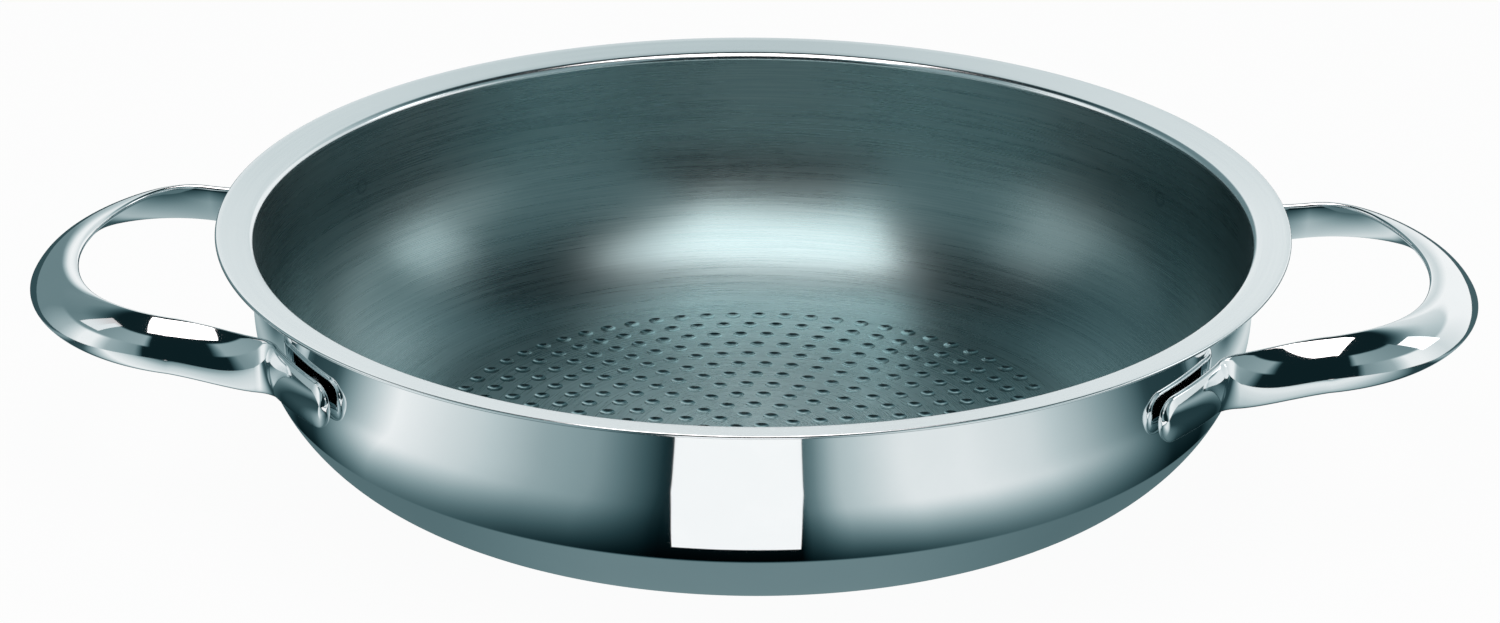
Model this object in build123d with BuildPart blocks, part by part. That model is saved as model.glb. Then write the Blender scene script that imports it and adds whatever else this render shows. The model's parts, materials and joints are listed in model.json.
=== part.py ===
from build123d import *
from math import atan2, cos, degrees, floor, radians, sin, sqrt
import os

os.makedirs("parts", exist_ok=True)

# Pan: the table is z = 0, the axis of the pan is Z and the two handles lie along X
inside_diameter = 280.0
pan_height = 70.5
sheet = 1.0
wall_draft = 1.2
corner_radius = 45.8
rim_reach = 10.8
rim_slope = 9.0
rim_bend = 2.0
rim_edge_round = 0.4

# Hollows pressed into the floor, in rings of six times the ring's number
dimple_diameter = 4.0
dimple_depth = 0.5
dimple_pitch = 7.45
dimple_margin = 1.0
pattern_turn = 10.3

# Base: an aluminium disc closed in by a magnetic steel dish
spreader_thickness = 2.4
cap_thickness = 0.6
cap_edge_radius = 1.6
cap_setback = 0.8
spreader_clearance = 0.2

# Handles: a strap that twists from the tip to the legs and turns onto the wall
handle_span = 409.0
leg_spacing = 120.0
loop_depth = 53.0
tip_height = 52.3
foot_height = 49.3
strap_width = 15.6
strap_thickness = 5.2
outer_crown = 0.6
tip_lean = 28.5
leg_lean = 74.0
foot_width = 13.8
foot_thickness = 3.8
foot_length = 31.0
foot_bend = 6.0
foot_end_radius = 5.5
foot_gap = 0.8
edge_round = 0.9
stations = 12

# Spot welds between the feet and the wall
weld_diameter = 6.0
weld_place = 0.5

inside_radius = inside_diameter / 2
base_thickness = spreader_thickness + cap_thickness
floor_height = base_thickness + sheet
draft = radians(wall_draft)
slope = radians(rim_slope)

# The inside of the sheet, from the floor out to the rim's edge
rim_length = (rim_reach - rim_bend * (cos(draft) - sin(slope))) / cos(slope)
wall_top = pan_height - rim_length * sin(slope) - rim_bend * (cos(slope) - sin(draft))
wall_length = (wall_top - floor_height - corner_radius * (1 - sin(draft))) / cos(draft)
floor_radius = inside_radius - wall_length * sin(draft) - corner_radius * cos(draft)
wall_direction = (sin(draft), cos(draft))
rim_direction = (cos(slope), sin(slope))


def outside_radius(height):
    """Radius of the outside of the wall at a height on its straight stretch."""
    inside = inside_radius - (wall_top - height) * sin(draft) / cos(draft)
    return inside + sheet / cos(draft)


# One hollow, kept to four faces because it is repeated hundreds of times
with BuildPart() as dimple:
    with BuildSketch(Plane.XY):
        RegularPolygon(dimple_diameter / 2, 4)
    loft(sections=[dimple.pending_faces[0], Vertex(0, 0, -dimple_depth)])

with BuildPart() as pan_body:
    with BuildSketch(Plane.XZ) as sheet_section:
        with BuildLine():
            flat = Line((0, floor_height), (floor_radius, floor_height))
            corner = JernArc(flat @ 1, flat % 1, corner_radius, 90 - wall_draft)
            wall = PolarLine(corner @ 1, wall_length, direction=wall_direction)
            bend = JernArc(wall @ 1, wall % 1, rim_bend, wall_draft + rim_slope - 90)
            rim = PolarLine(bend @ 1, rim_length, direction=rim_direction)
            offset(amount=sheet, side=Side.RIGHT, closed=True)
        make_face()
        rim_corners = sheet_section.vertices().sort_by(Axis.X)[-2:]
        fillet(rim_corners, radius=rim_edge_round)
    revolve(axis=Axis.Z)
    ring_count = floor((floor_radius - dimple_diameter / 2 - dimple_margin) / dimple_pitch)
    dimple_places = [Location((0, 0, floor_height))]
    for ring in range(1, ring_count + 1):
        places = PolarLocations(ring * dimple_pitch, 6 * ring, start_angle=pattern_turn)
        dimple_places += [Location((0, 0, floor_height)) * place for place in places]
    with Locations(*dimple_places):
        add(dimple.part, mode=Mode.SUBTRACT, clean=False)
pan_body.part.label = "pan_body"
export_step(pan_body.part, "parts/pan_body.step")

# The dish's wall stands under the flat of the floor, just inside its corner
cap_radius = floor_radius - cap_setback
with BuildPart() as base_cap:
    with BuildSketch(Plane.XY) as cap_outline:
        Circle(cap_radius)
    extrude(amount=base_thickness)
    fillet(base_cap.edges().group_by(Axis.Z)[0], radius=cap_edge_radius)
    offset(amount=-cap_thickness, openings=base_cap.faces().sort_by(Axis.Z)[-1])
base_cap.part.label = "base_cap"
export_step(base_cap.part, "parts/base_cap.step")

spreader_radius = cap_radius - cap_thickness - spreader_clearance
with BuildPart() as heat_spreader_disc:
    with BuildSketch(Plane.XY.offset(cap_thickness)) as disc_outline:
        Circle(spreader_radius)
    extrude(amount=spreader_thickness)
    chamfer(heat_spreader_disc.edges().group_by(Axis.Z)[0], length=cap_edge_radius - cap_thickness)
heat_spreader_disc.part.label = "heat_spreader_disc"
export_step(heat_spreader_disc.part, "parts/heat_spreader_disc.step")

# Middle line of the strap in plan: half an ellipse, two legs, a bend and an arc on the wall
half_spacing = leg_spacing / 2
foot_back = outside_radius(foot_height + foot_width / 2) + foot_gap
foot_radius = foot_back + (1 - outer_crown) * foot_thickness
bend_y = half_spacing + foot_bend
bend_x = sqrt((foot_radius + foot_bend) ** 2 - bend_y**2)
foot_start = degrees(atan2(bend_y, bend_x))
bend_angle = 90 - foot_start
foot_angle = degrees(foot_length / foot_radius)
tip_x = handle_span / 2 - strap_width / 2 * cos(radians(tip_lean))
loop_x = tip_x - loop_depth


def strap_section(plane, width, thickness):
    """A lens with rounded edges: crowned outside, which is -Y here, and flatter inside."""
    side = width / 2 - edge_round
    inside = (1 - outer_crown) * thickness
    outside = -outer_crown * thickness
    with BuildSketch(plane) as lens:
        with BuildLine():
            ThreePointArc((-side, edge_round), (0, inside), (side, edge_round))
            ThreePointArc((side, edge_round), (width / 2, 0), (side, -edge_round))
            ThreePointArc((side, -edge_round), (0, outside), (-side, -edge_round))
            ThreePointArc((-side, -edge_round), (-width / 2, 0), (-side, edge_round))
        make_face()
    return lens.sketch


def loop_plane(turn):
    """Plane across the strap at an angle around the loop, 0 at the tip."""
    angle = radians(turn)
    lean = radians(tip_lean + (leg_lean - tip_lean) * sin(angle) ** 4)
    height = foot_height + (tip_height - foot_height) * cos(angle)
    centre = Vector(loop_x + loop_depth * cos(angle), half_spacing * sin(angle), height)
    along = Vector(-loop_depth * sin(angle), half_spacing * cos(angle), 0).normalized()
    outward = along.cross(Vector(0, 0, 1))
    down_strap = outward * cos(lean) - Vector(0, 0, 1) * sin(lean)
    return Plane(origin=centre, x_dir=down_strap, z_dir=along)


def wall_plane(angle, radius):
    """Plane that faces out of the pan at the feet's height."""
    out = Vector(cos(radians(angle)), sin(radians(angle)), 0)
    place = out * radius + Vector(0, 0, foot_height)
    return Plane(origin=place, x_dir=(-out.Y, out.X, 0), z_dir=out)


def leg_plane(side):
    """Plane across the strap where a leg starts to bend onto the wall."""
    return Plane(
        origin=(bend_x, side * half_spacing, foot_height),
        x_dir=(0, 0, -1),
        z_dir=(-side, 0, 0),
    )


with BuildPart() as handle_right:
    turns = [-90 + 180 * step / stations for step in range(stations + 1)]
    sections = [strap_section(leg_plane(-1), foot_width, foot_thickness)]
    sections += [strap_section(loop_plane(turn), strap_width, strap_thickness) for turn in turns]
    sections += [strap_section(leg_plane(1), foot_width, foot_thickness)]
    loft(sections=sections)
    leg_end = handle_right.faces().filter_by(Axis.X).sort_by(Axis.Y)[-1]
    bend_axis = Axis((bend_x, bend_y, foot_height), (0, 0, -1))
    revolve(leg_end, axis=bend_axis, revolution_arc=bend_angle)
    bend_end = handle_right.faces().filter_by(GeomType.PLANE).sort_by(Axis.Y)[-1]
    revolve(bend_end, axis=Axis.Z, revolution_arc=foot_angle)
    # The foot's end is rounded where it lies on the wall
    with BuildSketch(wall_plane(foot_start + foot_angle, foot_radius - foot_thickness)):
        with Locations((-foot_end_radius / 2, 0)):
            Rectangle(foot_end_radius + foot_thickness, 2 * foot_width)
        with Locations((-foot_width / 2, 0)):
            RectangleRounded(foot_width, foot_width, foot_end_radius, mode=Mode.SUBTRACT)
    extrude(amount=2 * foot_thickness, mode=Mode.SUBTRACT)
    split(bisect_by=Plane.XZ, keep=Keep.BOTTOM)
    mirror(about=Plane.XZ)
handle_right.part.label = "handle_right"
export_step(handle_right.part, "parts/handle_right.step")

with BuildPart() as handle_left:
    mirror(handle_right.part, about=Plane.YZ)
handle_left.part.label = "handle_left"
export_step(handle_left.part, "parts/handle_left.step")

# Weld nuggets fill the gap between the wall and the back of each foot
weld_angle = foot_start + weld_place * foot_angle
with BuildPart() as right_handle_spot_welds:
    with BuildSketch(wall_plane(weld_angle, outside_radius(foot_height) - sheet / 2)):
        Circle(weld_diameter / 2)
    extrude(amount=foot_gap + sheet / 2 + foot_thickness / 2)
    add(pan_body.part, mode=Mode.SUBTRACT)
    add(handle_right.part, mode=Mode.SUBTRACT)
    mirror(about=Plane.XZ)
right_handle_spot_welds.part.label = "right_handle_spot_welds"
export_step(right_handle_spot_welds.part, "parts/right_handle_spot_welds.step")

with BuildPart() as left_handle_spot_welds:
    mirror(right_handle_spot_welds.part, about=Plane.YZ)
left_handle_spot_welds.part.label = "left_handle_spot_welds"
export_step(left_handle_spot_welds.part, "parts/left_handle_spot_welds.step")
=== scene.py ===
import json
import bmesh
import bpy
import numpy as np
from mathutils import Matrix, Vector
from mathutils.geometry import delaunay_2d_cdt

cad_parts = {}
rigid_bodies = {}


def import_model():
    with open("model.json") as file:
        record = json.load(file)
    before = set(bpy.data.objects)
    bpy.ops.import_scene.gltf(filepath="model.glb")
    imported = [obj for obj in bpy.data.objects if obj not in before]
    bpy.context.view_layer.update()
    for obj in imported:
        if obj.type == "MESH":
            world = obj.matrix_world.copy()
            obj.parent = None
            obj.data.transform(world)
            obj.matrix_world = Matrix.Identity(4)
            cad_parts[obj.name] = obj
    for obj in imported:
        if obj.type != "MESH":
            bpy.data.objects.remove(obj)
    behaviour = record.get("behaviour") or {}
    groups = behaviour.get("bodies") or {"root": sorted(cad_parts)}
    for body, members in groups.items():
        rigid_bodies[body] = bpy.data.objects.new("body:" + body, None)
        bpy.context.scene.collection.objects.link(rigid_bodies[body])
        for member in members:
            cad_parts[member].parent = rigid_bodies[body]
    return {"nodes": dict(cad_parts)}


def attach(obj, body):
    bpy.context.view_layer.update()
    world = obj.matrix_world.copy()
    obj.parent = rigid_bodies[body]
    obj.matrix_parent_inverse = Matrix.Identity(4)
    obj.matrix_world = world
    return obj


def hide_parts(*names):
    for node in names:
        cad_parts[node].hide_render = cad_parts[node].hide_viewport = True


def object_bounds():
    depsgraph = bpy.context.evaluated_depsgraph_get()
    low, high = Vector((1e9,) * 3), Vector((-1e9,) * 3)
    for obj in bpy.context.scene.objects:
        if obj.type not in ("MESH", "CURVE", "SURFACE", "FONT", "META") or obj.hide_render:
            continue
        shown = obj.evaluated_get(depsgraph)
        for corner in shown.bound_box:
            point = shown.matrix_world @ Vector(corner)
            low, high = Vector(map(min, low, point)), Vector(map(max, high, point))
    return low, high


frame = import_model()
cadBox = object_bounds()
mm = 0.001
print("frame loaded:", len(frame["nodes"]), "nodes")


# The cool cast of the steel and the studio: red falls faster than green as a tone gets darker
cast = {"redPower": 1.3, "bluePower": 0.95}


def coolGrey(brightness):
    return (brightness ** cast["redPower"], brightness, brightness ** cast["bluePower"], 1.0)


# Shader maths: a socket that can be added, multiplied and so on
class Value:
    def __init__(self, tree, socket):
        self.tree = tree
        self.socket = socket

    def maths(self, operation, other, swapped=False):
        sides = [self.socket, other.socket if isinstance(other, Value) else other]
        if swapped:
            sides.reverse()
        inputs = {0: sides[0], 1: sides[1]}
        return self.tree.add("ShaderNodeMath", {"operation": operation}, inputs)

    def __add__(self, other):
        return self.maths("ADD", other)

    def __radd__(self, other):
        return self.maths("ADD", other, True)

    def __sub__(self, other):
        return self.maths("SUBTRACT", other)

    def __rsub__(self, other):
        return self.maths("SUBTRACT", other, True)

    def __mul__(self, other):
        return self.maths("MULTIPLY", other)

    def __rmul__(self, other):
        return self.maths("MULTIPLY", other, True)

    def __truediv__(self, other):
        return self.maths("DIVIDE", other)

    def __rtruediv__(self, other):
        return self.maths("DIVIDE", other, True)

    def __pow__(self, other):
        return self.maths("POWER", other)


class NodeTree:
    def __init__(self, owner):
        owner.use_nodes = True
        self.nodes = owner.node_tree.nodes
        self.links = owner.node_tree.links
        self.nodes.clear()

    # One method makes every node: its type, its settings, then its sockets' values or links
    def add(self, kind, settings=None, inputs=None, output=0):
        node = self.nodes.new(kind)
        for key, setting in (settings or {}).items():
            if key == "stops":
                ramp = node.color_ramp.elements
                while len(ramp) < len(setting):
                    ramp.new(0.5)
                for element, (place, colour) in zip(ramp, setting):
                    element.position = place
                    element.color = colour
            else:
                setattr(node, key, setting)
        for key, value in (inputs or {}).items():
            if isinstance(value, Value):
                value = value.socket
            if isinstance(value, bpy.types.NodeSocket):
                self.links.new(value, node.inputs[key])
            else:
                node.inputs[key].default_value = value
        return Value(self, node.outputs[output]) if node.outputs else node

    def step(self, value, low, high):
        limits = {"Value": value, "From Min": low, "From Max": high}
        return self.add("ShaderNodeMapRange", {"interpolation_type": "SMOOTHSTEP"}, limits)

    def above(self, value, limit):
        return self.add("ShaderNodeMath", {"operation": "GREATER_THAN"}, {0: value, 1: limit})

    def absolute(self, value):
        return self.add("ShaderNodeMath", {"operation": "ABSOLUTE"}, {0: value})

    # A Mix node keeps its colours in sockets 6 and 7, and gives the mixed one in its output 2
    def mixColour(self, factor, first, second):
        inputs = {0: factor, 6: first, 7: second}
        return self.add("ShaderNodeMix", {"data_type": "RGBA"}, inputs, 2)

    # A grey from 0 to 1 in the cast above, close enough in its stops that soft edges keep the cast
    def tone(self, value):
        places = (0.0, 0.01, 0.04, 0.1, 0.2, 0.35, 0.6, 1.0)
        stops = [(place, coolGrey(place)) for place in places]
        return self.add("ShaderNodeValToRGB", {"stops": stops}, {0: value})

    def noise(self, vector, scale, detail, rough):
        inputs = {"Vector": vector, "Scale": scale, "Detail": detail, "Roughness": rough}
        return self.add("ShaderNodeTexNoise", {}, inputs)

    def bump(self, height, strength, distance):
        inputs = {"Strength": strength, "Distance": distance, "Height": height}
        return self.add("ShaderNodeBump", {}, inputs)


def objectPlace(tree):
    return tree.add("ShaderNodeTexCoord", output="Object")


def splitXyz(tree, vector):
    split = tree.add("ShaderNodeSeparateXYZ", inputs={0: vector})
    return [Value(tree, split.socket.node.outputs[axis]) for axis in range(3)]


def axisDistance(x, y):
    return (x * x + y * y) ** 0.5


# Coordinates that follow the lathe: distance along the profile, and the turn without a seam; a
# millimetre on the radius keeps them finite on the axis
def latheCoordinates(tree, place, fineness, turnScale):
    x, y, z = splitXyz(tree, place)
    radius = axisDistance(x, y)
    inverse = turnScale / (radius + mm)
    inputs = {0: (radius + z) * fineness, 1: x * inverse, 2: y * inverse}
    return tree.add("ShaderNodeCombineXYZ", inputs=inputs)


def newFinish(name):
    material = bpy.data.materials.new(name)
    return material, NodeTree(material)


# Metal whose brushing, where it has any, runs round the axis: a quarter turn from the shader's own
def finishSteel(tree, colour, roughness, bump, anisotropy=0.0):
    inputs = {
        "Base Color": colour,
        "Metallic": 1.0,
        "Roughness": roughness,
        "Anisotropic": anisotropy,
        "Anisotropic Rotation": 0.25,
        "Normal": bump,
    }
    shader = tree.add("ShaderNodeBsdfPrincipled", inputs=inputs)
    tree.add("ShaderNodeOutputMaterial", inputs={"Surface": shader})


# Faint marks on the inside of the wall, one behind each foot, where the handles are welded on
weldMarks = {
    "heading": np.radians(32.6),
    "radius": 139.8 * mm,
    "height": 49.0 * mm,
    "ringRadius": 2.0 * mm,
    "ringHalfWidth": 0.8 * mm,
    "tone": 0.16,
    "strength": 0.4,
}


# How much of the weld marks' ring shows: distance from a mark, folded so that one serves all four
def weldRing(tree, place):
    x, y, z = splitXyz(tree, place)
    x = tree.absolute(x) - weldMarks["radius"] * np.cos(weldMarks["heading"])
    y = tree.absolute(y) - weldMarks["radius"] * np.sin(weldMarks["heading"])
    z = z - weldMarks["height"]
    away = (x * x + y * y + z * z) ** 0.5 - weldMarks["ringRadius"]
    return 1 - tree.step(tree.absolute(away), 0.0, weldMarks["ringHalfWidth"])


# The brushed inside. Here and below, a noise is given by its scale, detail and roughness, a bump
# by its strength and height, and a swing is how far a noise moves the roughness
brushing = {
    # The wall's tones are the same steel as the floor's, darkened: painted shade
    "wallShadeDeep": (0.215, 0.31, 0.32, 1.0),
    "wallShadePale": (0.29, 0.395, 0.405, 1.0),
    "floorDeep": (0.45, 0.59, 0.61, 1.0),
    "floorPale": (0.59, 0.74, 0.76, 1.0),
    "hollowDeep": (0.42, 0.56, 0.58, 1.0),
    "hollowPale": (0.56, 0.71, 0.73, 1.0),
    "floorTo": 98.0 * mm,
    "wallFrom": 134.0 * mm,
    "turnScale": 3.2,
    "hairs": (1.0, 4.0, 0.65),
    "bands": (0.22, 2.0, 0.5),
    "cloud": (24.0, 3.0, 0.55),
    "hairShare": 0.8,
    "tint": (0.3, 0.7),
    "lineSwing": 0.14,
    "cloudSwing": 0.07,
    "bump": (0.12, 0.05 * mm),
    "inside": {"fineness": 1700.0, "roughness": 0.28, "anisotropy": 0.84},
    "hollow": {"fineness": 900.0, "roughness": 0.15, "anisotropy": 0.2},
}


# Circular brushing: hairlines round the pan's axis, from fine and coarse noise stretched along
# them; the wall's colours are the floor's steel darkened, painted shade, and the one runs into the
# other round the corner
def brushedInside(name, kind):
    material, tree = newFinish(name)
    b, own = brushing, brushing[kind]
    place = objectPlace(tree)
    around = latheCoordinates(tree, place, own["fineness"], b["turnScale"])
    hairs = tree.noise(around, *b["hairs"])
    bands = tree.noise(around, *b["bands"])
    cloud = tree.noise(place, *b["cloud"])
    lines = hairs * b["hairShare"] + bands * (1 - b["hairShare"])
    tint = tree.step(lines, *b["tint"])
    if kind == "hollow":
        colour = tree.mixColour(tint, b["hollowDeep"], b["hollowPale"])
    else:
        x, y = splitXyz(tree, place)[:2]
        # How far the wall's painted shade has taken over, from the floor's edge across the corner
        wallShade = tree.step(axisDistance(x, y), b["floorTo"], b["wallFrom"])
        floorTint = tree.mixColour(tint, b["floorDeep"], b["floorPale"])
        shadedWallTint = tree.mixColour(tint, b["wallShadeDeep"], b["wallShadePale"])
        colour = tree.mixColour(wallShade, floorTint, shadedWallTint)
        marked = weldRing(tree, place) * weldMarks["strength"]
        colour = tree.mixColour(marked, colour, coolGrey(weldMarks["tone"]))
    rough = own["roughness"] + (lines - 0.5) * b["lineSwing"] + (cloud - 0.5) * b["cloudSwing"]
    finishSteel(tree, colour, rough, tree.bump(hairs, *b["bump"]), own["anisotropy"])
    return material


# The pouring rim: satin, with hairlines round it
satin = {
    "deep": (0.84, 0.885, 0.90, 1.0),
    "pale": (0.88, 0.92, 0.93, 1.0),
    "fineness": 900.0,
    "turnScale": 2.0,
    "hairs": (1.0, 3.0, 0.6),
    "cloud": (30.0, 3.0, 0.5),
    "tint": (0.2, 0.8),
    "roughness": 0.17,
    "hairSwing": 0.04,
    "cloudSwing": 0.05,
    "bump": (0.05, 0.02 * mm),
    "anisotropy": 0.3,
}


def satinRim(name):
    material, tree = newFinish(name)
    place = objectPlace(tree)
    around = latheCoordinates(tree, place, satin["fineness"], satin["turnScale"])
    hairs = tree.noise(around, *satin["hairs"])
    cloud = tree.noise(place, *satin["cloud"])
    colour = tree.mixColour(tree.step(hairs, *satin["tint"]), satin["deep"], satin["pale"])
    rough = satin["roughness"] + (hairs - 0.5) * satin["hairSwing"]
    rough = rough + (cloud - 0.5) * satin["cloudSwing"]
    finishSteel(tree, colour, rough, tree.bump(hairs, *satin["bump"]), satin["anisotropy"])
    return material


polish = {
    "deep": (0.89, 0.92, 0.93, 1.0),
    "pale": (0.92, 0.945, 0.955, 1.0),
    "smear": (38.0, 5.0, 0.6),
    "smearTint": (0.3, 0.75),
    "smearDull": (0.45, 0.8),
    "smearSwing": 0.025,
    "outside": {"roughness": 0.04, "ripple": (9.0, 2.0, 0.45), "bump": (1.0, 0.22 * mm)},
    "handle": {"roughness": 0.045, "ripple": (42.0, 2.0, 0.45), "bump": (1.0, 0.12 * mm)},
}


# Mirror polish: slow ripples from the press, faint wipe marks in the roughness
def mirrorSteel(name, kind):
    material, tree = newFinish(name)
    own = polish[kind]
    place = objectPlace(tree)
    ripple = tree.noise(place, *own["ripple"])
    smear = tree.noise(place, *polish["smear"])
    tint = tree.step(smear, *polish["smearTint"])
    colour = tree.mixColour(tint, polish["deep"], polish["pale"])
    rough = own["roughness"] + tree.step(smear, *polish["smearDull"]) * polish["smearSwing"]
    finishSteel(tree, colour, rough, tree.bump(ripple, *own["bump"]))
    return material


dull = {
    "fineness": 700.0,
    "turnScale": 1.6,
    "lines": (1.0, 3.0, 0.6),
    "tint": (0.35, 0.65),
    "swing": 0.12,
    "bump": (0.2, 0.05 * mm),
    "cap": {
        "deep": (0.60, 0.65, 0.67, 1.0),
        "pale": (0.76, 0.80, 0.82, 1.0),
        "roughness": 0.26,
        "spots": (60.0, 4.0, 0.6),
    },
    "disc": {
        "deep": (0.70, 0.71, 0.72, 1.0),
        "pale": (0.84, 0.85, 0.86, 1.0),
        "roughness": 0.38,
        "spots": (90.0, 4.0, 0.6),
    },
    "weld": {
        "deep": (0.36, 0.38, 0.40, 1.0),
        "pale": (0.58, 0.60, 0.61, 1.0),
        "roughness": 0.45,
        "spots": (420.0, 4.0, 0.6),
    },
}


# Unpolished metal: turned lines and spots in equal parts
def dullSteel(name, kind):
    material, tree = newFinish(name)
    own = dull[kind]
    place = objectPlace(tree)
    around = latheCoordinates(tree, place, dull["fineness"], dull["turnScale"])
    lines = tree.noise(around, *dull["lines"])
    spots = tree.noise(place, *own["spots"])
    tint = tree.step(lines * 0.5 + spots * 0.5, *dull["tint"])
    colour = tree.mixColour(tint, own["deep"], own["pale"])
    rough = own["roughness"] + (lines - 0.5) * dull["swing"] + (spots - 0.5) * dull["swing"]
    finishSteel(tree, colour, rough, tree.bump(lines, *dull["bump"]))
    return material


insideMaterial = brushedInside("insideBrushed", "inside")
hollowMaterial = brushedInside("hollowPressed", "hollow")
rimMaterial = satinRim("rimSatin")
outsideMaterial = mirrorSteel("outsidePolished", "outside")
handleMaterial = mirrorSteel("handlePolished", "handle")
capMaterial = dullSteel("capTurned", "cap")
discMaterial = dullSteel("discRolled", "disc")
weldMaterial = dullSteel("weldMetal", "weld")
print("materials ready")


# Writes whole arrays of corners and faces into a mesh and puts it in the scene
def makePiece(name, points, faces, materials, slots=None):
    mesh = bpy.data.meshes.new(name)
    counts = np.concatenate([np.full(len(f), f.shape[1], dtype=np.int32) for f in faces])
    corners = np.concatenate([f.ravel() for f in faces]).astype(np.int32)
    mesh.vertices.add(len(points))
    mesh.vertices.foreach_set("co", np.ascontiguousarray(points, dtype=np.float32).ravel())
    mesh.loops.add(len(corners))
    mesh.loops.foreach_set("vertex_index", corners)
    mesh.polygons.add(len(counts))
    starts = np.concatenate([[0], np.cumsum(counts)[:-1]]).astype(np.int32)
    mesh.polygons.foreach_set("loop_start", starts)
    for material in materials:
        mesh.materials.append(material)
    if slots is not None:
        mesh.polygons.foreach_set("material_index", np.asarray(slots, dtype=np.int32))
    mesh.update(calc_edges=True)
    mesh.validate()
    piece = bpy.data.objects.new(name, mesh)
    bpy.context.collection.objects.link(piece)
    return piece


# Closes the seams, then keeps edges sharper than the angle crisp and the rest smooth
def closeAndSmooth(piece, sharpAngle, joinWithin):
    shape = bmesh.new()
    shape.from_mesh(piece.data)
    bmesh.ops.remove_doubles(shape, verts=shape.verts, dist=joinWithin)
    bmesh.ops.dissolve_degenerate(shape, edges=shape.edges, dist=joinWithin / 4)
    for face in shape.faces:
        face.smooth = True
    for edge in shape.edges:
        edge.smooth = edge.calc_face_angle(0.0) < sharpAngle
    shape.to_mesh(piece.data)
    shape.free()


# Faces of a grid of rows by columns, closed round the columns, wound so that normals point out
def gridFaces(rows, columns):
    i = np.arange(rows - 1)[:, None]
    j = np.arange(columns)[None, :]
    k = (j + 1) % columns
    corners = [i * columns + j, (i + 1) * columns + j, (i + 1) * columns + k, i * columns + k]
    return np.stack(np.broadcast_arrays(*corners), axis=-1).reshape(-1, 4)


pan = {
    "insideRadius": 140.0 * mm,
    "height": cadBox[1][2],
    "sheet": 1.0 * mm,
    "draft": np.radians(1.2),
    "cornerRadius": 45.8 * mm,
    "rimReach": 10.8 * mm,
    "rimSlope": np.radians(9.0),
    "rimBend": 2.0 * mm,
    "baseThickness": 3.0 * mm,
    "edgeBulge": 0.84,
    "turns": 432,
    "cornerSteps": 37,
    "wallSteps": 8,
    "bendSteps": 11,
    "rimSteps": 7,
    "edgeSteps": 13,
    "underRings": (0.6, 0.2),
    "sharpAngle": np.radians(21.0),
    "joinWithin": 0.004 * mm,
}

# Where each finish stands among the pan's materials
panSlots = {"inside": 0, "rim": 1, "outside": 2, "hollow": 3}

dimples = {
    "radius": 2.35 * mm,
    "depth": 0.54 * mm,
    "pitch": 7.45 * mm,
    "margin": 0.65 * mm,
    "turn": np.radians(10.3),
    "rings": (1.0, 0.8, 0.5, 0.25),
    "sides": 14,
    "edgeMargin": 0.995,
    "joinWithin": 0.00001,
}


# The pan's lines, worked out from the sizes above as the drawing of the real pan would be
def panLines():
    d, s = pan["draft"], pan["rimSlope"]
    bend, reach, corner = pan["rimBend"], pan["rimReach"], pan["cornerRadius"]
    floorZ = pan["baseThickness"] + pan["sheet"]
    rimLength = (reach - bend * (np.cos(d) - np.sin(s))) / np.cos(s)
    wallTop = pan["height"] - rimLength * np.sin(s) - bend * (np.cos(s) - np.sin(d))
    wallLength = (wallTop - floorZ - corner * (1 - np.sin(d))) / np.cos(d)
    floorRadius = pan["insideRadius"] - wallLength * np.sin(d) - corner * np.cos(d)
    return floorZ, rimLength, wallTop, floorRadius


floorZ, rimLength, wallTop, floorRadius = panLines()


# One side of the sheet, offset from its inside: corner arc, wall, bend and rim, floor edge first
def sheetSide(offset):
    d, s = pan["draft"], pan["rimSlope"]
    turn = np.linspace(0, np.pi / 2 - d, pan["cornerSteps"])
    r = pan["cornerRadius"] + offset
    centreZ = floorZ + pan["cornerRadius"]
    corner = np.c_[floorRadius + r * np.sin(turn), centreZ - r * np.cos(turn)]
    along = np.linspace(0, 1, pan["wallSteps"])[1:, None]
    out = np.array([np.cos(d), -np.sin(d)])
    top = np.array([pan["insideRadius"], wallTop]) + out * offset
    wall = corner[-1] + (top - corner[-1]) * along
    turn = np.linspace(d, np.pi / 2 - s, pan["bendSteps"])[1:]
    bendCentre = np.array([pan["insideRadius"], wallTop]) + out * pan["rimBend"]
    r = pan["rimBend"] - offset
    bend = bendCentre + r * np.c_[-np.cos(turn), np.sin(turn)]
    length = rimLength - pan["edgeBulge"] * pan["sheet"] / 2
    along = np.linspace(0, 1, pan["rimSteps"])[1:, None]
    rim = bend[-1] + np.array([np.cos(s), np.sin(s)]) * length * along
    return corner, wall, bend, rim


# The whole section of the sheet as one line, and the finish of each stretch of it
def panSection():
    inside = sheetSide(0.0)
    outside = sheetSide(pan["sheet"])
    s = pan["rimSlope"]
    middle = (inside[3][-1] + outside[3][-1]) / 2
    turn = np.linspace(np.pi / 2, -np.pi / 2, pan["edgeSteps"])[1:-1]
    half = pan["sheet"] / 2
    edge = np.c_[pan["edgeBulge"] * half * np.cos(turn), half * np.sin(turn)]
    edge = middle + edge @ np.array([[np.cos(s), np.sin(s)], [-np.sin(s), np.cos(s)]])
    back = [stretch[::-1] for stretch in outside[::-1]]
    stretches = [*inside, edge, *back]
    finishes = 2 * [panSlots["inside"]] + 3 * [panSlots["rim"]] + 4 * [panSlots["outside"]]
    line = np.concatenate(stretches)
    finish = np.concatenate([np.full(len(p), f) for p, f in zip(stretches, finishes)])
    return line, finish[1:]


# A surface of revolution: the section's radius and height carried round the axis
def revolve(line, turns):
    angle = np.arange(turns) * 2 * np.pi / turns
    x = line[:, :1] * np.cos(angle)
    y = line[:, :1] * np.sin(angle)
    z = np.repeat(line[:, 1:], turns, axis=1)
    return np.stack([x, y, z], axis=-1).reshape(-1, 3)


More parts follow.
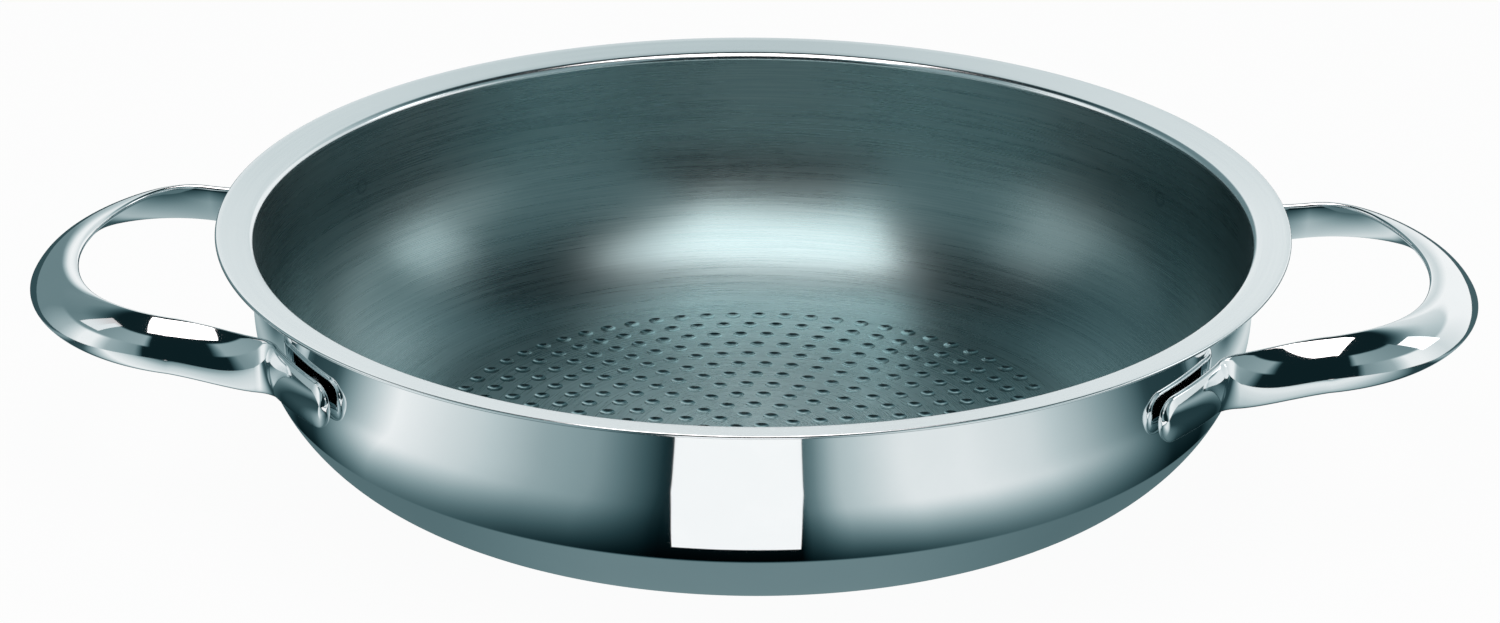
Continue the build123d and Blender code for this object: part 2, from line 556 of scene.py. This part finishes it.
# Centres of the hollows: ring n holds 6n of them, evenly spaced, round one in the middle
def dimpleCentres():
    free = floorRadius - dimples["radius"] - dimples["margin"]
    ringCount = int(free / dimples["pitch"])
    ring = np.repeat(np.arange(1, ringCount + 1), 6 * np.arange(1, ringCount + 1))
    place = np.concatenate([np.arange(6 * n) for n in range(1, ringCount + 1)])
    angle = dimples["turn"] + 2 * np.pi * place / (6 * ring)
    radius = ring * dimples["pitch"]
    centres = np.c_[radius * np.cos(angle), radius * np.sin(angle)]
    return np.vstack([[0.0, 0.0], centres])


# The flat of the floor between the hollows, as triangles between their edges and the corner,
# worked out in millimetres, without those that lie inside a hollow
def floorPlate(centres, rimPoints):
    sides = dimples["sides"]
    angle = np.arange(sides) * 2 * np.pi / sides
    circle = dimples["radius"] * np.c_[np.cos(angle), np.sin(angle)]
    holes = (centres[:, None, :] + circle[None]).reshape(-1, 2)
    flat = np.vstack([rimPoints, holes])
    n = len(rimPoints)
    loops = [(i, (i + 1) % n) for i in range(n)]
    for first in range(n, len(flat), sides):
        loops += [(first + i, first + (i + 1) % sides) for i in range(sides)]
    scaled = [Vector(p) for p in (flat / mm)]
    found = delaunay_2d_cdt(scaled, loops, [], 0, dimples["joinWithin"])
    corners = np.array([p[:] for p in found[0]]) * mm
    faces = np.array([f for f in found[2] if len(f) == 3])
    middle = corners[faces].mean(axis=1)
    apart = np.linalg.norm(middle[:, None, :] - centres[None], axis=2).min(axis=1)
    apothem = dimples["radius"] * np.cos(np.pi / sides)
    faces = faces[apart > apothem * dimples["edgeMargin"]]
    a, b, c = (corners[faces[:, side]] for side in range(3))
    turn = (b - a)[:, 0] * (c - a)[:, 1] - (b - a)[:, 1] * (c - a)[:, 0]
    faces[turn < 0] = faces[turn < 0][:, ::-1]
    return np.c_[corners, np.full(len(corners), floorZ)], faces


# A hollow is a bowl: its depth falls with the square of the distance from its middle
def dimpleBowls(centres):
    sides = dimples["sides"]
    share = np.array(dimples["rings"])
    angle = np.arange(sides) * 2 * np.pi / sides
    x = share[:, None] * np.cos(angle) * dimples["radius"]
    y = share[:, None] * np.sin(angle) * dimples["radius"]
    z = np.broadcast_to(floorZ - dimples["depth"] * (1 - share[:, None] ** 2), x.shape)
    bowl = np.stack([x, y, z], axis=-1).reshape(-1, 3)
    bowl = np.vstack([bowl, [0, 0, floorZ - dimples["depth"]]])
    quads = gridFaces(len(share), sides)[:, ::-1]
    last = (len(share) - 1) * sides + np.arange(sides)
    middle = np.full(sides, len(bowl) - 1)
    tris = np.c_[last, np.roll(last, -1), middle]
    offset = np.c_[centres, np.zeros(len(centres))]
    points = (bowl[None] + offset[:, None, :]).reshape(-1, 3)
    first = (np.arange(len(centres)) * len(bowl))[:, None, None]
    return points, (quads[None] + first).reshape(-1, 4), (tris[None] + first).reshape(-1, 3)


# The sheet's section carried round the axis, the floor with its hollows, and the underside
def makePan():
    line, finish = panSection()
    turns = pan["turns"]
    shell = revolve(line, turns)
    shellFaces = gridFaces(len(line), turns)
    shellSlots = np.repeat(finish, turns)
    centres = dimpleCentres()
    plate, plateFaces = floorPlate(centres, shell[:turns, :2])
    bowls, bowlQuads, bowlTris = dimpleBowls(centres)
    underZ = line[-1, 1]
    underLine = np.array([[floorRadius * share, underZ] for share in pan["underRings"]])
    under = revolve(underLine, turns)
    centre = np.array([[0, 0, underZ]])
    points = np.vstack([shell, plate, bowls, under, centre])
    plateStart = len(shell)
    bowlStart = plateStart + len(plate)
    underStart = bowlStart + len(bowls)
    lastRing = (len(line) - 1) * turns + np.arange(turns)
    firstUnder = underStart + np.arange(turns)
    secondUnder = firstUnder + turns
    pairs = ((lastRing, firstUnder), (firstUnder, secondUnder))
    join = np.vstack([np.c_[a, b, np.roll(b, -1), np.roll(a, -1)] for a, b in pairs])
    fan = np.c_[secondUnder, np.full(turns, len(points) - 1), np.roll(secondUnder, -1)]
    quads = np.vstack([shellFaces, join, bowlQuads + bowlStart])
    tris = np.vstack([plateFaces + plateStart, bowlTris + bowlStart, fan])
    slots = np.concatenate([
        shellSlots,
        np.full(len(join), panSlots["outside"]),
        np.full(len(bowlQuads), panSlots["hollow"]),
        np.full(len(plateFaces), panSlots["inside"]),
        np.full(len(bowlTris), panSlots["hollow"]),
        np.full(len(fan), panSlots["outside"]),
    ])
    finishes = [insideMaterial, rimMaterial, outsideMaterial, hollowMaterial]
    piece = makePiece("panBody", points, [quads, tris], finishes, slots)
    closeAndSmooth(piece, pan["sharpAngle"], pan["joinWithin"])
    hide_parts("pan_body")
    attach(piece, "root")
    print("pan body:", len(piece.data.polygons), "faces,", len(centres), "hollows")


cap = {
    "setback": 0.8 * mm,
    "sheet": 0.6 * mm,
    "edgeRadius": 1.6 * mm,
    "edgeSteps": 9,
    "plateFrom": 0.02,
    "plateTo": 0.985,
    "plateSteps": 24,
    "turns": 240,
    "sharpAngle": np.radians(30.0),
    "joinWithin": 0.004 * mm,
}


# The dish under the base: a turned plate, a rounded edge and a wall up to the floor's underside
def makeBaseCap():
    r = floorRadius - cap["setback"]
    edge, sheet, turns = cap["edgeRadius"], cap["sheet"], cap["turns"]
    turn = np.linspace(0, np.pi / 2, cap["edgeSteps"])
    outer = np.c_[r - edge + edge * np.sin(turn), edge - edge * np.cos(turn)]
    share = np.linspace(cap["plateFrom"], cap["plateTo"], cap["plateSteps"])
    plate = share[:, None] * np.array([[r - edge, 0.0]])
    top = pan["baseThickness"]
    inner = np.c_[outer[::-1, 0] - sheet, np.maximum(outer[::-1, 1], sheet)]
    wallEnd = np.array([[r, top], [r - sheet, top]])
    line = np.vstack([plate, outer, wallEnd, inner, [[cap["plateFrom"] * r, sheet]]])
    points = revolve(line, turns)
    faces = gridFaces(len(line), turns)[:, ::-1]
    below = np.arange(turns)
    above = (len(line) - 1) * turns + below
    points = np.vstack([points, [[0, 0, 0], [0, 0, sheet]]])
    fan = np.vstack([
        np.c_[below, np.full(turns, len(points) - 2), np.roll(below, -1)],
        np.c_[above, np.full(turns, len(points) - 1), np.roll(above, -1)][:, ::-1],
    ])
    piece = makePiece("baseCap", points, [faces, fan], [capMaterial])
    closeAndSmooth(piece, cap["sharpAngle"], cap["joinWithin"])
    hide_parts("base_cap")
    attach(piece, "root")
    print("base cap:", len(piece.data.polygons), "faces")


handle = {
    "span": 408.0 * mm,
    "loopHalf": 53.4 * mm,
    "loopDepth": 38.0 * mm,
    "tipHeight": 53.6 * mm,
    "footHeight": 48.6 * mm,
    "width": 15.6 * mm,
    "thickness": 5.2 * mm,
    "tipLean": np.radians(28.5),
    "legLean": np.radians(59.0),
    "leanPower": 3.2,
    "legSwing": np.radians(18.0),
    "footStart": np.radians(26.5),
    "footWidth": 15.2 * mm,
    "endWidth": 13.0 * mm,
    "footThickness": 3.8 * mm,
    "footLength": 30.4 * mm,
    "footBend": 10.0 * mm,
    "footEndRadius": 5.8 * mm,
    "footGap": 0.8 * mm,
    "edgeRound": 0.9 * mm,
    "edgeShare": 0.24,
    "crownShare": 0.6,
    "endTaper": 1.6,
    "endThickness": 0.02,
    "loopSteps": 121,
    "legSteps": 31,
    "bendSteps": 41,
    "footSteps": 90,
    "crownSteps": 25,
    "edgeSteps": 9,
    "sharpAngle": np.radians(50.0),
    "joinWithin": 0.0005 * mm,
}


# How far along a stretch each point is, from 0 before its start to 1 after its end
def shareAlong(along, start, end):
    return np.clip((along - start) / (end - start), 0, 1)


# Middle line of half a handle, tip to foot, with its direction, height, lean, width and thickness:
# a quarter of an ellipse, a leg that swings out by a power of its length, a bend and an arc on the
# wall. The lean grows by a power of the distance from the middle and then with the square of the
# way to the wall, and the height falls from the tip's to the feet's
def handlePath():
    h = handle
    half, bendRadius = h["loopHalf"], h["footBend"]
    tipX = h["span"] / 2 - h["width"] / 2 * np.cos(h["tipLean"])
    loopX = tipX - h["loopDepth"]
    wallRadius = pan["insideRadius"] + pan["sheet"] / np.cos(pan["draft"])
    drop = wallTop - h["footHeight"] - h["footWidth"] / 2
    footBack = wallRadius - drop * np.tan(pan["draft"]) + h["footGap"]
    footRadius = footBack + (1 - h["crownShare"]) * h["footThickness"]
    start, swing = h["footStart"], h["legSwing"]
    bendCentre = (footRadius + bendRadius) * np.array([np.cos(start), np.sin(start)])
    legEnd = bendCentre - bendRadius * np.array([np.sin(swing), np.cos(swing)])
    legLength, legRise = loopX - legEnd[0], legEnd[1] - half
    power = np.tan(swing) * legLength / legRise

    t = np.linspace(0, np.pi / 2, h["loopSteps"])
    loop = np.c_[loopX + h["loopDepth"] * np.cos(t), half * np.sin(t)]
    t = np.linspace(0, 1, h["legSteps"])[1:]
    leg = np.c_[loopX - legLength * t, half + legRise * t ** power]
    t = np.linspace(swing, np.pi / 2 - start, h["bendSteps"])[1:]
    bend = bendCentre - bendRadius * np.c_[np.sin(t), np.cos(t)]
    t = np.linspace(0, np.pi / 2, h["footSteps"])[1:]
    t = start + h["footLength"] / footRadius * np.sin(t)
    foot = footRadius * np.c_[np.cos(t), np.sin(t)]
    line = np.vstack([loop, leg, bend, foot])

    step = np.linalg.norm(np.diff(line, axis=0), axis=1)
    along = np.concatenate([[0], np.cumsum(step)])
    direction = np.gradient(line, along, axis=0)
    direction /= np.linalg.norm(direction, axis=1)[:, None]
    legAt = along[len(loop) - 1]
    bendAt = along[len(loop) + len(leg) - 1]
    wallAt = along[len(loop) + len(leg) + len(bend) - 1]

    outward = shareAlong(line[:, 1], 0, half)
    lean = h["tipLean"] + (h["legLean"] - h["tipLean"]) * outward ** h["leanPower"]
    lean = lean + (np.pi / 2 - lean) * shareAlong(along, legAt, wallAt) ** 2
    toFoot = shareAlong(along, legAt, bendAt)
    toFoot = toFoot ** 2 * (3 - 2 * toFoot)
    toEnd = shareAlong(along, bendAt, along[-1])
    width = h["width"] + (h["footWidth"] - h["width"]) * toFoot
    width = width + (h["endWidth"] - h["footWidth"]) * toEnd
    thick = h["thickness"] + (h["footThickness"] - h["thickness"]) * toFoot
    fall = (1 - shareAlong(line[:, 0], tipX, legEnd[0]) ** 3) ** 2
    height = h["footHeight"] + (h["tipHeight"] - h["footHeight"]) * fall

    left = along[-1] - along
    r = h["footEndRadius"]
    inCorner = np.clip(r - left, 0, r)
    width = width - 2 * (r - np.sqrt(np.maximum(r ** 2 - inCorner ** 2, 0)))
    near = np.clip(1 - left / (h["endTaper"] * h["edgeRound"]), 0, 1)
    thick = thick * np.maximum(np.sqrt(1 - near ** 2), h["endThickness"])
    return line, direction, height, lean, width, thick


# A lens with rounded edges: two crown arcs that meet two edge arcs without a corner
def lensSection(width, thick):
    edge = np.minimum(handle["edgeRound"], handle["edgeShare"] * thick)
    side = width / 2 - edge
    points = []
    for share, facing in ((handle["crownShare"], 1), (1 - handle["crownShare"], -1)):
        crown = share * thick
        radius = (side ** 2 + crown ** 2 - edge ** 2) / (2 * (crown - edge))
        reach = np.arctan2(side, radius - crown)
        t = reach[:, None] * np.linspace(-1, 1, handle["crownSteps"]) * -facing
        x = radius[:, None] * np.sin(t)
        y = facing * (crown[:, None] - radius[:, None] + radius[:, None] * np.cos(t))
        points.append((x, y, reach))
    (topX, topY, topReach), (lowX, lowY, lowReach) = points
    t = (np.pi - topReach - lowReach)[:, None] * np.linspace(0, 1, handle["edgeSteps"])[1:-1]
    turn = np.pi / 2 + topReach[:, None] + t
    leftX = -side[:, None] + edge[:, None] * np.cos(turn)
    leftY = edge[:, None] * np.sin(turn)
    turn = -np.pi / 2 + lowReach[:, None] + t
    rightX = side[:, None] + edge[:, None] * np.cos(turn)
    rightY = edge[:, None] * np.sin(turn)
    return np.hstack([topX, leftX, lowX, rightX]), np.hstack([topY, leftY, lowY, rightY])


# The lens carried along the middle line, turned by the lean, for one whole handle
def makeHandle(name, node, side):
    line, direction, height, lean, width, thick = handlePath()
    x, y = lensSection(width, thick)
    out = np.c_[direction[:, 1], -direction[:, 0], np.zeros(len(line))]
    up = np.array([0.0, 0.0, 1.0])
    across = out * np.cos(lean)[:, None] - up * np.sin(lean)[:, None]
    facing = out * np.sin(lean)[:, None] + up * np.cos(lean)[:, None]
    middle = np.c_[line, height]
    half = middle[:, None] + x[..., None] * across[:, None] + y[..., None] * facing[:, None]
    mirrored = half[:0:-1] * np.array([1.0, -1.0, 1.0])
    strap = np.concatenate([mirrored, half])
    rows, columns = strap.shape[:2]
    points = strap.reshape(-1, 3) * np.array([side, 1.0, 1.0])
    faces = gridFaces(rows, columns)
    firstEnd = np.arange(columns)[None, :]
    lastEnd = (rows - 1) * columns + firstEnd
    if side < 0:
        faces, firstEnd, lastEnd = faces[:, ::-1], firstEnd[:, ::-1], lastEnd[:, ::-1]
    piece = makePiece(name, points, [faces, firstEnd, lastEnd[:, ::-1]], [handleMaterial])
    closeAndSmooth(piece, handle["sharpAngle"], handle["joinWithin"])
    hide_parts(node)
    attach(piece, "root")
    print(name, len(piece.data.polygons), "faces")


# A CAD node whose shape is right keeps it and gets a finish
def dressNode(node, material):
    body = frame["nodes"][node]
    body.data.materials.clear()
    body.data.materials.append(material)


makePan()
makeBaseCap()
makeHandle("handleRight", "handle_right", 1)
makeHandle("handleLeft", "handle_left", -1)
dressNode("heat_spreader_disc", discMaterial)
dressNode("left_handle_spot_welds", weldMaterial)
dressNode("right_handle_spot_welds", weldMaterial)
print("pan dressed")


# The floor lies a little below the base, so that the two don't meet in one plane
studio = {
    "floorSize": 6.0,
    "floorHeight": -0.2 * mm,
    "floorColour": (0.80, 0.82, 0.83, 1.0),
    "white": (1.0, 1.0, 1.0, 1.0),
    "whiteShare": 0.96,
    "ceiling": 0.014,
    "backTop": (0.56, 0.84),
    "frontTop": (0.76, 0.80),
    "lowBandTop": (0.40, 0.46),
    "lampColour": (1.0, 0.92, 0.91),
    "overhead": {"place": (-0.035, -0.17, 1.0), "size": (0.67, 0.85), "radiance": 2.95},
    "rightPanel": {"place": (1.16, 0.2, 0.72), "size": (0.42, 0.5), "radiance": 1.25},
    "leftPanel": {"place": (-1.05, 0.0, 0.85), "size": (0.45, 0.5), "radiance": 0.62},
}

# What the polished wall sees of the table, painted light and shade that the floor gives glossy
# rays:
# a white card in front and soft zones either side of it, as headings in degrees from the front, to
# the right, each with its brightness, and distances from the axis in metres
tableZones = {
    "headings": (
        (-180, 0.50),
        (-100, 0.50),
        (-86, 0.05),
        (-78, 0.08),
        (-62, 0.92),
        (-45, 0.66),
        (-33, 0.40),
        (-24, 0.31),
        (-17, 0.13),
        (-12, 0.02),
        (8.7, 0.02),
        (9.0, 0.11),
        (11, 0.20),
        (15, 0.52),
        (26, 0.83),
        (37, 0.84),
        (49, 0.71),
        (59, 0.47),
        (75, 0.05),
        (86, 0.04),
        (102, 0.75),
        (180, 0.75),
    ),
    "cardEdges": (-11.05, 9.5),
    "cardFootEdges": (-9.3, 8.2),
    "cardFoot": 0.1485,
    "cardStraight": 0.235,
    "shadeTowardsPan": (0.128, 0.205),
    "side": np.radians((16.0, 50.0)),
    "sideGlow": 0.12,
    "behind": np.radians((92.0, 104.0)),
    "behindRadius": (0.195, 0.225),
    "behindShade": 0.85,
    "underBody": 0.138,
    "underBlur": 0.0008,
    "underShadowTone": 0.235,
    "underShade": 0.3,
}

# The room near the horizon, by the same headings: dark where the camera stands, pale at the sides
lowBand = (
    (-180, 0.78),
    (-172, 0.95),
    (-169, 0.85),
    (-163, 0.22),
    (-128, 0.22),
    (-104, 0.45),
    (-86, 0.90),
    (-74, 0.90),
    (-60, 0.42),
    (-34, 0.26),
    (-27, 0.0),
    (27, 0.0),
    (34, 0.26),
    (60, 0.42),
    (74, 0.90),
    (86, 0.90),
    (108, 0.72),
    (140, 0.94),
    (166, 0.94),
    (174, 0.70),
    (180, 0.78),
)

# The same, higher up: a grey front with a dark gap in its middle, and the backdrop behind
highBand = (
    (-180, 0.70),
    (-171, 0.85),
    (-160, 0.24),
    (-120, 0.20),
    (-90, 0.24),
    (-50, 0.34),
    (-27, 0.38),
    (-20, 0.0),
    (20, 0.0),
    (27, 0.36),
    (50, 0.30),
    (90, 0.24),
    (120, 0.50),
    (165, 0.78),
    (180, 0.70),
)


# Heading from the front, positive to the right
def headingOf(tree, x, y):
    return tree.add("ShaderNodeMath", {"operation": "ARCTAN2"}, {0: x, 1: 0 - y})


# Brightness by heading, read from a list of headings and tones
def headingTone(tree, heading, zones):
    stops = [(degrees / 360 + 0.5, (b, b, b, 1.0)) for degrees, b in zones]
    return tree.add("ShaderNodeValToRGB", {"stops": stops}, {0: heading / (2 * np.pi) + 0.5})


# The table in the reflections: a card between two headings that spread with the distance, zones
# that darken towards the pan and an even tone under it, both painted shade of the pan on the table
def tableTone(tree):
    t = tableZones
    x, y = splitXyz(tree, objectPlace(tree))[:2]
    radius = axisDistance(x, y)
    heading = headingOf(tree, x, y)
    zones = headingTone(tree, heading, t["headings"])
    limits = {"Value": radius, "From Min": t["cardFoot"], "From Max": t["cardStraight"]}
    straight = tree.add("ShaderNodeMapRange", {}, limits)
    foot, far = (np.radians(t[key]) for key in ("cardFootEdges", "cardEdges"))
    left, right = (straight * (far[side] - foot[side]) + foot[side] for side in (0, 1))
    card = tree.above(heading, left) * (1 - tree.above(heading, right))
    card = card * tree.above(radius, t["cardFoot"])
    # Painted shade: the zones darken towards the pan
    lit = tree.step(radius, *t["shadeTowardsPan"])
    away = tree.absolute(heading)
    side = tree.step(away, *t["side"])
    outer = zones * (lit + (1 - lit) * side * t["sideGlow"]) * (1 - card) + card
    behind = tree.step(away, *t["behind"]) * tree.step(radius, *t["behindRadius"])
    outer = outer * (1 - behind * t["behindShade"])
    edge, blur = t["underBody"], t["underBlur"]
    beyond = tree.step(radius, edge - blur, edge + blur)
    # Painted shadow: the even tone under the pan
    under = (1 - side * t["underShade"]) * t["underShadowTone"]
    return tree.tone(outer * beyond + (1 - beyond) * under)


# A pale floor: white to the camera with a faint shadow; to glossy rays it glows with the painted
# light and shade of the table zones; and clear from below so that the underside of the pan can be
# seen
def makeFloor():
    half = studio["floorSize"] / 2
    z = studio["floorHeight"]
    points = np.array([[-half, -half, z], [half, -half, z], [half, half, z], [-half, half, z]])
    material = bpy.data.materials.new("floorPale")
    tree = NodeTree(material)
    camera = tree.add("ShaderNodeLightPath", output="Is Camera Ray")
    glossy = tree.add("ShaderNodeLightPath", output="Is Glossy Ray")
    matt = tree.add("ShaderNodeBsdfDiffuse", inputs={"Color": studio["floorColour"]})
    white = tree.add("ShaderNodeEmission", inputs={"Color": studio["white"], "Strength": 1.0})
    whiteness = camera * studio["whiteShare"]
    seen = tree.add("ShaderNodeMixShader", inputs={0: whiteness, 1: matt, 2: white})
    table = tree.add("ShaderNodeEmission", inputs={"Color": tableTone(tree), "Strength": 1.0})
    above = tree.add("ShaderNodeMixShader", inputs={0: glossy, 1: seen, 2: table})
    below = tree.add("ShaderNodeNewGeometry", output="Backfacing")
    clear = tree.add("ShaderNodeBsdfTransparent")
    shader = tree.add("ShaderNodeMixShader", inputs={0: below, 1: above, 2: clear})
    tree.add("ShaderNodeOutputMaterial", inputs={"Surface": shader})
    piece = makePiece("floor", points, [np.array([[0, 1, 2, 3]])], [material])


# White to the camera; to the steel a pale backdrop behind, a dark ceiling and the low band
def makeWorld():
    world = bpy.data.worlds.new("studio")
    bpy.context.scene.world = world
    tree = NodeTree(world)
    camera = tree.add("ShaderNodeLightPath", output="Is Camera Ray")
    x, y, up = splitXyz(tree, tree.add("ShaderNodeTexCoord", output="Generated"))
    heading = headingOf(tree, x, y)
    low = headingTone(tree, heading, lowBand)
    high = headingTone(tree, heading, highBand)
    front = tree.above(0 - y, 0.0)
    above = front * tree.step(up, *studio["frontTop"])
    above = above + (1 - front) * tree.step(up, *studio["backTop"])
    rise = tree.step(up, *studio["lowBandTop"])
    colour = tree.tone(low * (1 - rise) + high * rise * (1 - above) + studio["ceiling"])
    seen = tree.mixColour(camera, colour, studio["white"])
    background = tree.add("ShaderNodeBackground", inputs={"Color": seen, "Strength": 1.0})
    tree.add("ShaderNodeOutputWorld", inputs={"Surface": background})


# A soft lamp that looks at the pan; its power is its radiance times its area times pi
def makeLamp(name, setting):
    lamp = bpy.data.lights.new(name, "AREA")
    lamp.shape = "RECTANGLE"
    lamp.size, lamp.size_y = setting["size"]
    lamp.energy = setting["radiance"] * lamp.size * lamp.size_y * np.pi
    lamp.color = studio["lampColour"]
    piece = bpy.data.objects.new(name, lamp)
    piece.location = setting["place"]
    piece.rotation_euler = Vector(setting["place"]).to_track_quat("Z", "Y").to_euler()
    bpy.context.collection.objects.link(piece)


view = {
    "imageWidth": 1500.0,
    "focalPixels": 5754.0,
    "sensorWidth": 36.0,
    "clipEnd": 50.0,
    "distance": 1.618,
    "elevation": np.radians(21.68),
    "turn": np.radians(1.5),
    "roll": np.radians(0.353),
    "rimCentreRight": 3.3,
    "rimCentreUp": 92.0,
}


# The camera looks at the middle of the rim, then tips so that it lands where the photograph has it
def makeCamera():
    lens = bpy.data.cameras.new("camera")
    lens.sensor_fit = "HORIZONTAL"
    lens.sensor_width = view["sensorWidth"]
    lens.lens = view["sensorWidth"] * view["focalPixels"] / view["imageWidth"]
    lens.clip_end = view["clipEnd"]
    piece = bpy.data.objects.new("camera", lens)
    bpy.context.collection.objects.link(piece)
    e, t = view["elevation"], view["turn"]
    away = Vector((np.cos(e) * np.sin(t), -np.cos(e) * np.cos(t), np.sin(e)))
    right = Vector((np.cos(t), np.sin(t), 0.0))
    up = away.cross(right)
    base = Matrix((right, up, away)).transposed()
    roll = Matrix.Rotation(view["roll"], 3, "Z")
    pitch = Matrix.Rotation(-np.arctan(view["rimCentreUp"] / view["focalPixels"]), 3, "X")
    yaw = Matrix.Rotation(np.arctan(view["rimCentreRight"] / view["focalPixels"]), 3, "Y")
    turned = (base @ roll @ yaw @ pitch).to_4x4()
    place = Vector((0.0, 0.0, pan["height"])) + away * view["distance"]
    piece.matrix_world = Matrix.Translation(place) @ turned
    bpy.context.scene.camera = piece


makeFloor()
makeWorld()
for lampName in ("overhead", "rightPanel", "leftPanel"):
    makeLamp(lampName, studio[lampName])
makeCamera()
bpy.context.scene.view_settings.view_transform = "Standard"
print("studio ready")
